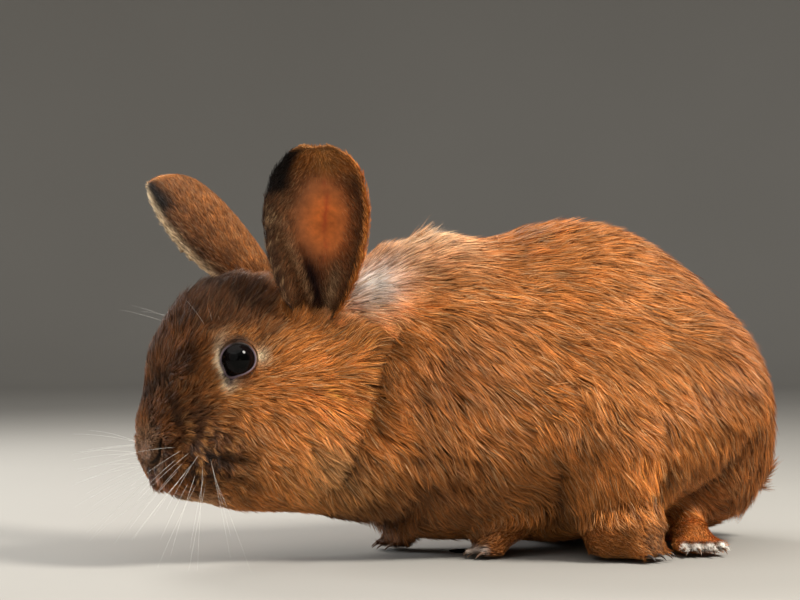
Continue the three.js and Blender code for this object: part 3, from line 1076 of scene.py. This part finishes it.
def tuft_points(roots, normals, ways, length, width, lift, leader):
    """Five points to a tuft: left and right at its root and at its middle, and its tip. Each
    is rolled a little about its length, and rises less beyond its middle. The tips of a lock
    lean towards the leader's, most of all low on the body."""
    roll = rng.normal(0, ROLL, len(roots))[:, None]
    side = unit(np.cross(normals, ways)) * np.cos(roll) + normals * np.sin(roll)
    lift = lift[:, None]
    rise = TIP_LIFT * lift
    start = roots - normals * ROOT_DEPTH
    middle = start + (ways * np.cos(lift) + normals * np.sin(lift)) * MIDDLE_AT * length[:, None]
    tip = middle + (ways * np.cos(rise) + normals * np.sin(rise)) * (1 - MIDDLE_AT) * length[:, None]
    lock = tip[leader]
    reach = np.linalg.norm(lock - tip, axis=1, keepdims=True)
    gather = mix(0.6, 0.32, ramp(roots[:, 2:], 50 * MM, 120 * MM))
    pull = gather * np.clip(0.5 * length[:, None] / np.maximum(reach, 1e-9), 0, 1)
    tip = mix(tip, lock, pull)
    middle = mix(middle, middle + (lock - tip), 0.3 * pull)
    half = side * (width / 2)[:, None]
    return np.stack([start - half, start + half, middle - half * 0.9, middle + half * 0.9, tip], axis=1)


TUFT_FACES = np.array([(1, 0, 2), (1, 2, 3), (3, 2, 4)])
TUFT_SHARES = np.array([0.0, 0.0, 0.5, 0.5, 1.0])
TUFT_PATCH = np.array([(0, 0), (1, 0), (0, 0.5), (1, 0.5), (0.5, 1)]) - 0.5


def mesh_from(name, points, triangles, colours, material):
    """A smooth mesh object with a colour and an alpha at each point."""
    mesh = bpy.data.meshes.new(name)
    mesh.vertices.add(len(points))
    mesh.loops.add(3 * len(triangles))
    mesh.polygons.add(len(triangles))
    fill(mesh.vertices, "co", points)
    fill(mesh.loops, "vertex_index", triangles, np.int32)
    fill(mesh.polygons, "loop_start", 3 * np.arange(len(triangles)), np.int32)
    fill(mesh.polygons, "use_smooth", np.ones(len(triangles)), bool)
    mesh.update(calc_edges=True)
    fill(mesh.color_attributes.new(COLOUR, "FLOAT_COLOR", "POINT").data, "color", colours)
    mesh.materials.append(material)
    return added(name, mesh)


def hair_colours(leader, colours):
    """The marking under each tuft made lighter or darker, and paler for some of the tufts.
    White hair varies less."""
    count = len(leader)
    tint = rng.normal(1.04, 0.2, count).clip(0.5, 1.7)
    tint[rng.random(count) < DARK_SHARE] *= 0.42
    tint *= rng.normal(1.02, 0.24, count).clip(0.55, 1.7)[leader]
    tint = mix(tint, 1.0, 0.85 * ramp(colours.min(axis=1), 0.25, 0.6))
    pale = (rng.random(count) < PALE_SHARE) * rng.uniform(0.2, 0.6, count)
    level = (colours.sum(axis=1) / RUST.sum()).clip(0, 1.2)
    return mix(colours * tint[:, None], PALE_HAIR * level[:, None], pale[:, None])


def make_coat(name, coat, skin, material):
    """One piece of the coat, each tuft with its own colour and its patch in the bake's map."""
    surface, nodes, depth, normals, ways, colours, bare, uv = skin
    inside = node_mask(nodes, *coat.nodes)
    if coat.zone:
        inside = inside * coat.zone(surface.points)
    length = tuft_length(surface.points, depth, nodes)
    width = 0.1 + 0.017 * length
    density = inside * (1 - bare) / (width * length) * mix(1.0, 0.7, fall(normals[:, 2], -0.95, -0.6))
    picked, shares = scatter(surface, density, coat.tufts)
    corners = surface.triangles[picked]

    def at_roots(values):
        return (values[corners] * shares.reshape(len(picked), 3, *[1] * (values.ndim - 1))).sum(axis=1)

    roots, root_normals, root_ways = at_roots(surface.points), unit(at_roots(normals)), unit(at_roots(ways))
    count = len(picked)
    leader = lock_leaders(roots, coat.clump)
    turn = rng.normal(0, 0.12, count) + rng.normal(0, coat.tousle, count)[leader]
    root_ways = turned(root_ways, root_normals, turn)
    root_length = at_roots(length) * rng.normal(1.0, 0.14, count).clip(0.6, 1.5)
    root_width = at_roots(width) * rng.normal(1.0, 0.15, count).clip(0.6, 1.5)
    rise = at_roots(depth) * rng.normal(1.0, 0.1, count) * rng.normal(1.0, coat.tousle, count)[leader] + 0.7
    lift = np.clip(rise / (LIFTED_SHARE * root_length), *LIFT_LIMITS)
    points = tuft_points(roots, root_normals, root_ways, root_length * MM, root_width * MM, lift, leader)
    points[:, :, 2] = np.maximum(points[:, :, 2], HAIR_CLEARANCE)
    corners_each = len(TUFT_SHARES)
    table = np.empty((count, corners_each, 4))
    table[:, :, :3] = hair_colours(leader, at_roots(colours))[:, None].clip(0, 1)
    table[:, :, 3] = TUFT_SHARES
    triangles = (TUFT_FACES[None] + corners_each * np.arange(count)[:, None, None]).reshape(-1, 3)
    made = mesh_from(name, points.reshape(-1, 3), triangles, table.reshape(-1, 4), material)
    root_uv = (uv[picked] * shares[:, :, None]).sum(axis=1)
    patches = root_uv[:, None, None] + PATCH * TUFT_PATCH[TUFT_FACES][None]
    fill(made.data.uv_layers.new(name=BAKE_MAP).data, "uv", patches.clip(0, 1))
    return made


# ---- Materials ----


class Nodes:
    """A material's nodes, with short ways to add and join them."""

    def __init__(self, name):
        self.material = bpy.data.materials.new(name)
        self.material.use_nodes = True
        self.tree = self.material.node_tree
        self.shader = self.tree.nodes["Principled BSDF"]

    def put(self, value, socket):
        """Another node's output is joined to the socket. A number or a colour is set there."""
        if hasattr(value, "is_output"):
            self.tree.links.new(value, socket)
        else:
            socket.default_value = (*value, 1) if socket.type == "RGBA" else value

    def add(self, kind, inputs=(), **settings):
        """The outputs of a new node, whose inputs are given by their names or numbers."""
        node = self.tree.nodes.new("ShaderNode" + kind)
        for key, value in settings.items():
            setattr(node, key, value)
        for key in inputs:
            self.put(inputs[key], node.inputs[key])
        return node.outputs

    def set(self, **values):
        """Values for sockets of the shader, by their names."""
        for key, value in values.items():
            self.put(value, self.shader.inputs[key.replace("_", " ")])

    def maths(self, operation, a, b):
        return self.add("Math", {0: a, 1: b}, operation=operation)[0]

    def blend(self, share, a, b, kind="MIX"):
        return self.add("Mix", {0: share, 6: a, 7: b}, data_type="RGBA", blend_type=kind)[2]

    def scaled(self, colour, level):
        return self.add("VectorMath", {0: colour, "Scale": level}, operation="SCALE")[0]

    def noise(self, scale, detail):
        place = self.add("TexCoord")["Object"]
        return self.add("TexNoise", {"Vector": place, "Scale": scale, "Detail": detail})[0]

    def remap(self, value, low, high, to_low, to_high):
        return self.add("MapRange", {0: value, 1: low, 2: high, 3: to_low, 4: to_high})[0]

    def mottle(self, scale, detail, low, high):
        """Noise between two levels."""
        return self.remap(self.noise(scale, detail), 0.3, 0.7, low, high)

    def painted(self):
        """The mesh's own colour, and its alpha."""
        outputs = self.add("Attribute", attribute_name=COLOUR)
        return outputs["Color"], outputs["Alpha"]

    def paleness(self, colour):
        """0 for the red and dark colours, and 1 for white."""
        blue = self.add("SeparateColor", {0: colour})["Blue"]
        return self.remap(blue, 0.3, 0.7, 0.0, 1.0)

    def relief(self, height, strength, distance):
        values = {"Height": height, "Strength": strength, "Distance": distance}
        self.set(Normal=self.add("Bump", values)[0])


def fur_material():
    """Hair: darkened towards its root unless it is pale, partly its own darker base and partly
    painted shade deep in the coat, and brightest at its tip as a painted highlight. Alpha is
    the share of the way to the tip."""
    n = Nodes("fur")
    colour, along = n.painted()
    # Painted shade deep in the coat darkens the root, partly the hair's own darker base; a painted highlight
    # brightens the tip.
    root = n.remap(along, 0.0, 0.5, 0.28, 1.0)
    root = n.maths("MAXIMUM", root, n.maths("MULTIPLY", n.paleness(colour), 0.8))
    tip = n.remap(along, 0.6, 1.0, 1.0, 1.18)
    level = n.maths("MULTIPLY", n.maths("MULTIPLY", root, tip), n.mottle(55, 3, 0.84, 1.14))
    n.set(Base_Color=n.scaled(colour, level), Roughness=0.5, Specular_IOR_Level=0.2)
    n.set(Sheen_Weight=0.03, Sheen_Roughness=0.4, Sheen_Tint=(1.0, 0.75, 0.5))
    return n.material


def skin_material():
    """Skin under the coat, darkened as painted shade where the coat covers it, less under white
    hair, with bare skin on the lids, nostrils, lips and ears. Alpha is how bare it is."""
    n = Nodes("skin")
    colour, bare = n.painted()
    # Painted shade: covered skin is darkened, less under white hair, and not where it is bare.
    coat_shade = n.blend(n.paleness(colour), (0.48, 0.43, 0.4), (0.85, 0.83, 0.8))
    tone = n.blend(1.0, colour, n.blend(bare, coat_shade, (1.0, 1.0, 1.0)), "MULTIPLY")
    n.set(Base_Color=n.scaled(tone, n.mottle(400, 4, 0.82, 1.12)))
    n.set(Roughness=n.remap(bare, 0, 1, 0.8, 0.5), Specular_IOR_Level=0.2)
    n.relief(n.noise(1400, 3), 0.35, 0.0003)
    return n.material


def eye_material():
    """A dark brown iris round a black pupil, under a clear cornea. Alpha is the angle out."""
    n = Nodes("eye")
    colour, angle = n.painted()
    n.set(Base_Color=n.scaled(colour, n.mottle(900, 3, 0.7, 1.3)))
    n.set(Roughness=n.remap(angle, 0.5, 0.75, 0.3, 0.4), Specular_IOR_Level=0.0)
    n.set(Coat_Weight=0.2, Coat_Roughness=0.02)
    return n.material


def hair_material(name, root, tip):
    """Whiskers and lashes. Alpha is the share of the way to the tip."""
    n = Nodes(name)
    _, along = n.painted()
    n.set(Base_Color=n.blend(along, root, tip), Roughness=n.mottle(300, 2, 0.3, 0.45))
    return n.material


def claw_material():
    """Grained horn. Alpha is the share of the way to the tip."""
    n = Nodes("claw")
    colour, along = n.painted()
    n.set(Base_Color=n.scaled(colour, n.mottle(700, 3, 0.75, 1.15)))
    n.set(Roughness=n.remap(along, 0, 1, 0.45, 0.3))
    n.relief(n.noise(1500, 2), 0.25, 0.0002)
    return n.material


# ---- Eyes, claws and whiskers ----

PUPIL = rgb(3, 3, 3)
IRIS = rgb(12, 8, 8)
EYE_EDGE = rgb(6, 4, 4)
EYE_RINGS, EYE_SECTORS = 64, 96
CLAW_SIDES = 10
HAIR_SIDES = 4
HAIR_STEPS = 12


def make_eye(side):
    """An eyeball with the wide cornea of a rabbit standing a little proud."""
    axis, front, up = eye_frame(side)
    angles = np.linspace(0.0, math.pi, EYE_RINGS)
    turns = np.linspace(0, 2 * math.pi, EYE_SECTORS, endpoint=False)
    degrees = np.degrees(angles)
    reach = EYE_RADIUS + 0.5 * MM * (1 - ramp(degrees, 0, 58)) - 0.1 * MM * ramp(degrees, 50, 66)
    round_way = front[None] * np.cos(turns)[:, None] + up[None] * np.sin(turns)[:, None]
    points = EYES[side] + (
        axis * (np.cos(angles) * reach)[:, None, None]
        + round_way[None] * (np.sin(angles) * reach)[:, None, None]
    )
    colours = np.tile(PUPIL, (EYE_RINGS, 1))
    colours = layered(colours, (IRIS, ramp(degrees, 26, 31)), (EYE_EDGE, ramp(degrees, 46, 56)))
    table = np.repeat(np.column_stack([colours, degrees / 90]), EYE_SECTORS, axis=0)
    triangles = ring_triangles(EYE_RINGS, EYE_SECTORS)
    if side == "left":
        triangles = triangles[:, ::-1]
    return mesh_from(side + "_eyeball", points.reshape(-1, 3), triangles, table, eye_material())


def tube(line, radii, sides):
    """A round tube along a line, its points ring by ring and its triangles."""
    along = unit(np.gradient(line, axis=0))
    seed = np.array([0.31, 0.17, 0.94])
    side = unit(np.cross(along, seed))
    over = np.cross(along, side)
    turns = np.linspace(0, 2 * math.pi, sides, endpoint=False)
    rings = side[:, None] * np.cos(turns)[None, :, None] + over[:, None] * np.sin(turns)[None, :, None]
    points = line[:, None] + rings * np.asarray(radii)[:, None, None]
    return points.reshape(-1, 3), ring_triangles(len(line), sides)


def joined(name, tubes, material):
    """One object from (points, triangles, colours) of many tubes."""
    points, triangles, colours = zip(*tubes)
    starts = np.cumsum([0] + [len(some) for some in points[:-1]])
    triangles = [some + start for some, start in zip(triangles, starts)]
    return mesh_from(name, *map(np.concatenate, (points, triangles, colours)), material)


def make_claws():
    """A claw at each toe, curved down."""
    share = np.linspace(0, 1, 8)
    radii = 0.85 * (1 - share) ** 0.6 * MM
    tubes = []
    for foot in FEET.values():
        for tip, way in foot.toes():
            line = tip + way * (-4.5 + 5.0 * share)[:, None] * MM - UP * (0.6 + 2.8 * share**2)[:, None] * MM
            line[:, 2] = np.maximum(line[:, 2], radii + 0.2 * MM)
            colours = mix(foot.claw[None], foot.claw[None] * 0.8, share[:, None])
            table = np.repeat(np.column_stack([colours, share]), CLAW_SIDES, axis=0)
            tubes.append((*tube(line, radii, CLAW_SIDES), table))
    return joined("claws", tubes, claw_material())


def hair_tube(root, way, length, bend, thickness):
    """One long hair: it leaves along way and bends by bend over its length."""
    share = np.linspace(0, 1, HAIR_STEPS)[:, None]
    line = root + way * share * length + bend * share**2 * length
    line[:, 2] = np.maximum(line[:, 2], WHISKER_CLEARANCE)
    points, triangles = tube(line, thickness * (1 - 0.8 * share[:, 0]), HAIR_SIDES)
    table = np.zeros((len(points), 4))
    table[:, 3] = np.repeat(share[:, 0], HAIR_SIDES)
    return points, triangles, table


def surface_at(tree, place, way):
    """The skin's point met on the way in to a place."""
    hit = tree.ray_cast(Vector(place + way * 60 * MM), Vector(-way))[0]
    return np.array(hit) if hit is not None else place


WHISKER_CLEARANCE = 0.6 * MM  # above the floor
WHISKER_LIMIT = -190 * MM  # no whisker reaches further ahead of the rabbit than this


def whisker(tree, place, out, way, length, thickness):
    """A hair from the skin at a place on the head, kept behind the limit."""
    root = surface_at(tree, place, out)
    way = unit(way + rng.normal(0, 0.1, 3))
    length *= rng.uniform(0.75, 1.1) * MM
    if way[1] < 0:
        length = min(length, (WHISKER_LIMIT - root[1]) / way[1])
    return hair_tube(root, way, length, -0.1 * UP, thickness * MM)


def make_whiskers(surface):
    """Rows of whiskers on both pads, and a few above each eye."""
    tree = surface.tree()
    tubes = []
    for side, sign in SIDES.items():
        for number, (ahead, up) in enumerate(whisker_spots()):
            row, column = number // 5, number % 5
            out = unit(sign * LEFTWARDS + 0.5 * AHEAD)
            if side == "left":
                way = (1.1 - 0.26 * column) * AHEAD + 0.3 * LEFTWARDS - UP * (0.35 + 0.14 * row)
                length = 36 + 3 * column
            else:
                way = 0.25 * AHEAD - LEFTWARDS + UP * (0.28 - 0.2 * row - 0.05 * column)
                length = 56 + 3 * column
            tubes.append(whisker(tree, on_head(sign * 6, ahead, up), out, way, length, 0.055))
        for k in range(3):
            out = unit(sign * LEFTWARDS + 0.8 * AHEAD + 0.5 * UP)
            way = sign * LEFTWARDS * 0.6 + AHEAD * 0.6 + UP * (0.45 - 0.15 * k)
            tubes.append(whisker(tree, on_head(sign * 12, 8 - 4 * k, 14 + k), out, way, 28, 0.045))
    return joined("whiskers", tubes, hair_material("whisker", (0.75, 0.7, 0.62), (0.95, 0.93, 0.9)))


def make_lashes():
    """Short hairs along the upper lids and a few along the lower."""
    tubes = []
    for side in SIDES:
        for turn in np.radians(np.concatenate([np.linspace(25, 165, 26), np.linspace(-150, -20, 9)])):
            outward = out_of_eye(side, math.radians(rim_angle(turn) + 3), turn)
            round_way = out_of_eye(side, math.pi / 2, turn)
            root = EYES[side] + outward * (EYE_RADIUS + 0.8 * MM)
            way = unit(outward + 0.5 * round_way + rng.normal(0, 0.12, 3))
            length = (3.4 if turn > 0 else 1.8) * rng.uniform(0.8, 1.2) * MM
            tubes.append(hair_tube(root, way, length, 0.4 * round_way, 0.09 * MM))
    return joined("lashes", tubes, hair_material("lash", (0.02, 0.012, 0.008), (0.05, 0.03, 0.02)))


# ---- Camera, lights and stage ----

CAMERA_PLACE = (0.9548, -0.3844, 0.1265)
CAMERA_AZIMUTH = 70.0
CAMERA_LENS = 91.8


def make_camera():
    data = bpy.data.cameras.new("camera")
    data.lens = CAMERA_LENS
    data.sensor_width = 36.0
    data.clip_start = 0.02
    camera = added("camera", data)
    camera.location = CAMERA_PLACE
    camera.rotation_euler = (math.radians(90), 0, math.radians(CAMERA_AZIMUTH))
    bpy.context.scene.camera = camera


LIGHTS = {  # place and target in metres, size, power and colour
    "key": ((0.62, 0.52, 0.95), (0.0, -0.02, 0.09), 0.36, 23.5, (1.0, 0.95, 0.87)),
    "rim": ((-0.75, -0.2, 0.75), (0.0, 0.0, 0.12), 0.5, 7.0, (1.0, 0.97, 0.92)),
    "edge": ((-0.6, -0.95, 0.36), (0.0, -0.14, 0.08), 0.3, 9.0, (0.95, 0.97, 1.0)),
    "fill": ((0.8, -0.8, 0.5), (0.0, -0.05, 0.08), 1.2, 2.0, (1.0, 0.97, 0.93)),
    "top": ((0.15, -0.35, 1.1), (0.0, -0.05, 0.1), 1.6, 9.0, (1.0, 0.97, 0.92)),
}


def make_lights():
    for name, (place, target, size, power, colour) in LIGHTS.items():
        data = bpy.data.lights.new(name, "AREA")
        data.shape = "DISK"
        data.size = size
        data.energy = power
        data.color = colour
        light = added(name, data)
        light.location = place
        light.rotation_euler = (Vector(target) - Vector(place)).to_track_quat("-Z", "Y").to_euler()
    world = bpy.data.worlds.new("studio")
    world.use_nodes = True
    background = world.node_tree.nodes["Background"]
    background.inputs["Color"].default_value = (0.97, 0.95, 0.93, 1)
    background.inputs["Strength"].default_value = 0.3
    bpy.context.scene.world = world
    bpy.context.scene.view_settings.view_transform = "Standard"


def make_stage():
    """A round pale floor that curves up into a low wall on every side."""
    heights = [(0.01, 0.0), (0.6, 0.0), (1.3, 0.0), (2.0, 0.0)]
    heights += [(2.0 + 0.8 * math.sin(a), 0.8 - 0.8 * math.cos(a)) for a in np.linspace(0.1, math.pi / 2, 14)]
    heights += [(2.8, 1.6)]
    turns = np.linspace(0, 2 * math.pi, 96, endpoint=False)
    points = [(r * math.cos(t), r * math.sin(t), z) for r, z in heights for t in turns]
    middle = [(0, k, k + 1) for k in range(1, len(turns) - 1)]
    triangles = np.concatenate([ring_triangles(len(heights), len(turns)), middle])
    n = Nodes("studio")
    tone = n.remap(n.noise(3, 2), 0.2, 0.8, 0.97, 1.03)
    n.set(Base_Color=n.scaled((0.3, 0.29, 0.27), tone), Roughness=0.9, Specular_IOR_Level=0.1)
    stage = mesh_from("studio_floor", np.array(points), triangles, np.ones((len(points), 4)), n.material)


# ---- The rabbit ----


def unwrapped(obj):
    """Lays the skin's own shape out flat, and gives the corners of each triangle there."""
    obj.data.uv_layers.new(name=BAKE_MAP)
    bpy.context.view_layer.objects.active = obj
    obj.select_set(True)
    bpy.ops.object.mode_set(mode="EDIT")
    bpy.ops.mesh.select_all(action="SELECT")
    bpy.ops.uv.smart_project(angle_limit=math.radians(66), island_margin=0.002)
    bpy.ops.object.mode_set(mode="OBJECT")
    obj.select_set(False)
    return fetched(obj.data.uv_layers[BAKE_MAP].data, "uv", 2).reshape(-1, 3, 2)


def place(piece, slot, *replaced):
    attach(piece, "root")
    if replaced:
        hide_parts(*replaced)


make_camera()
make_lights()
make_stage()

surface, nodes, depth = make_skin()
PATHS = line_paths(surface)
normals = surface.normals()
colours = marking(surface.points, normals, nodes)
bare = bareness(surface.points, normals, nodes)
skin_table = np.column_stack([colours, bare])
skin = mesh_from("skin", surface.points, surface.triangles, skin_table, skin_material())
uv = unwrapped(skin)
place(skin, "coat", *[name for name in NODES if not name.endswith("_eye")])

ways = lie_of_coat(surface, nodes, normals)
fur = fur_material()
for name, coat in COATS.items():
    piece = make_coat(name, coat, (surface, nodes, depth, normals, ways, colours, bare, uv), fur)
    place(piece, "ear" if name == "coat_ears" else "coat")

for side in SIDES:
    place(make_eye(side), "eye", side + "_eye")
for piece in (make_claws(), make_whiskers(surface), make_lashes()):
    place(piece, "coat")
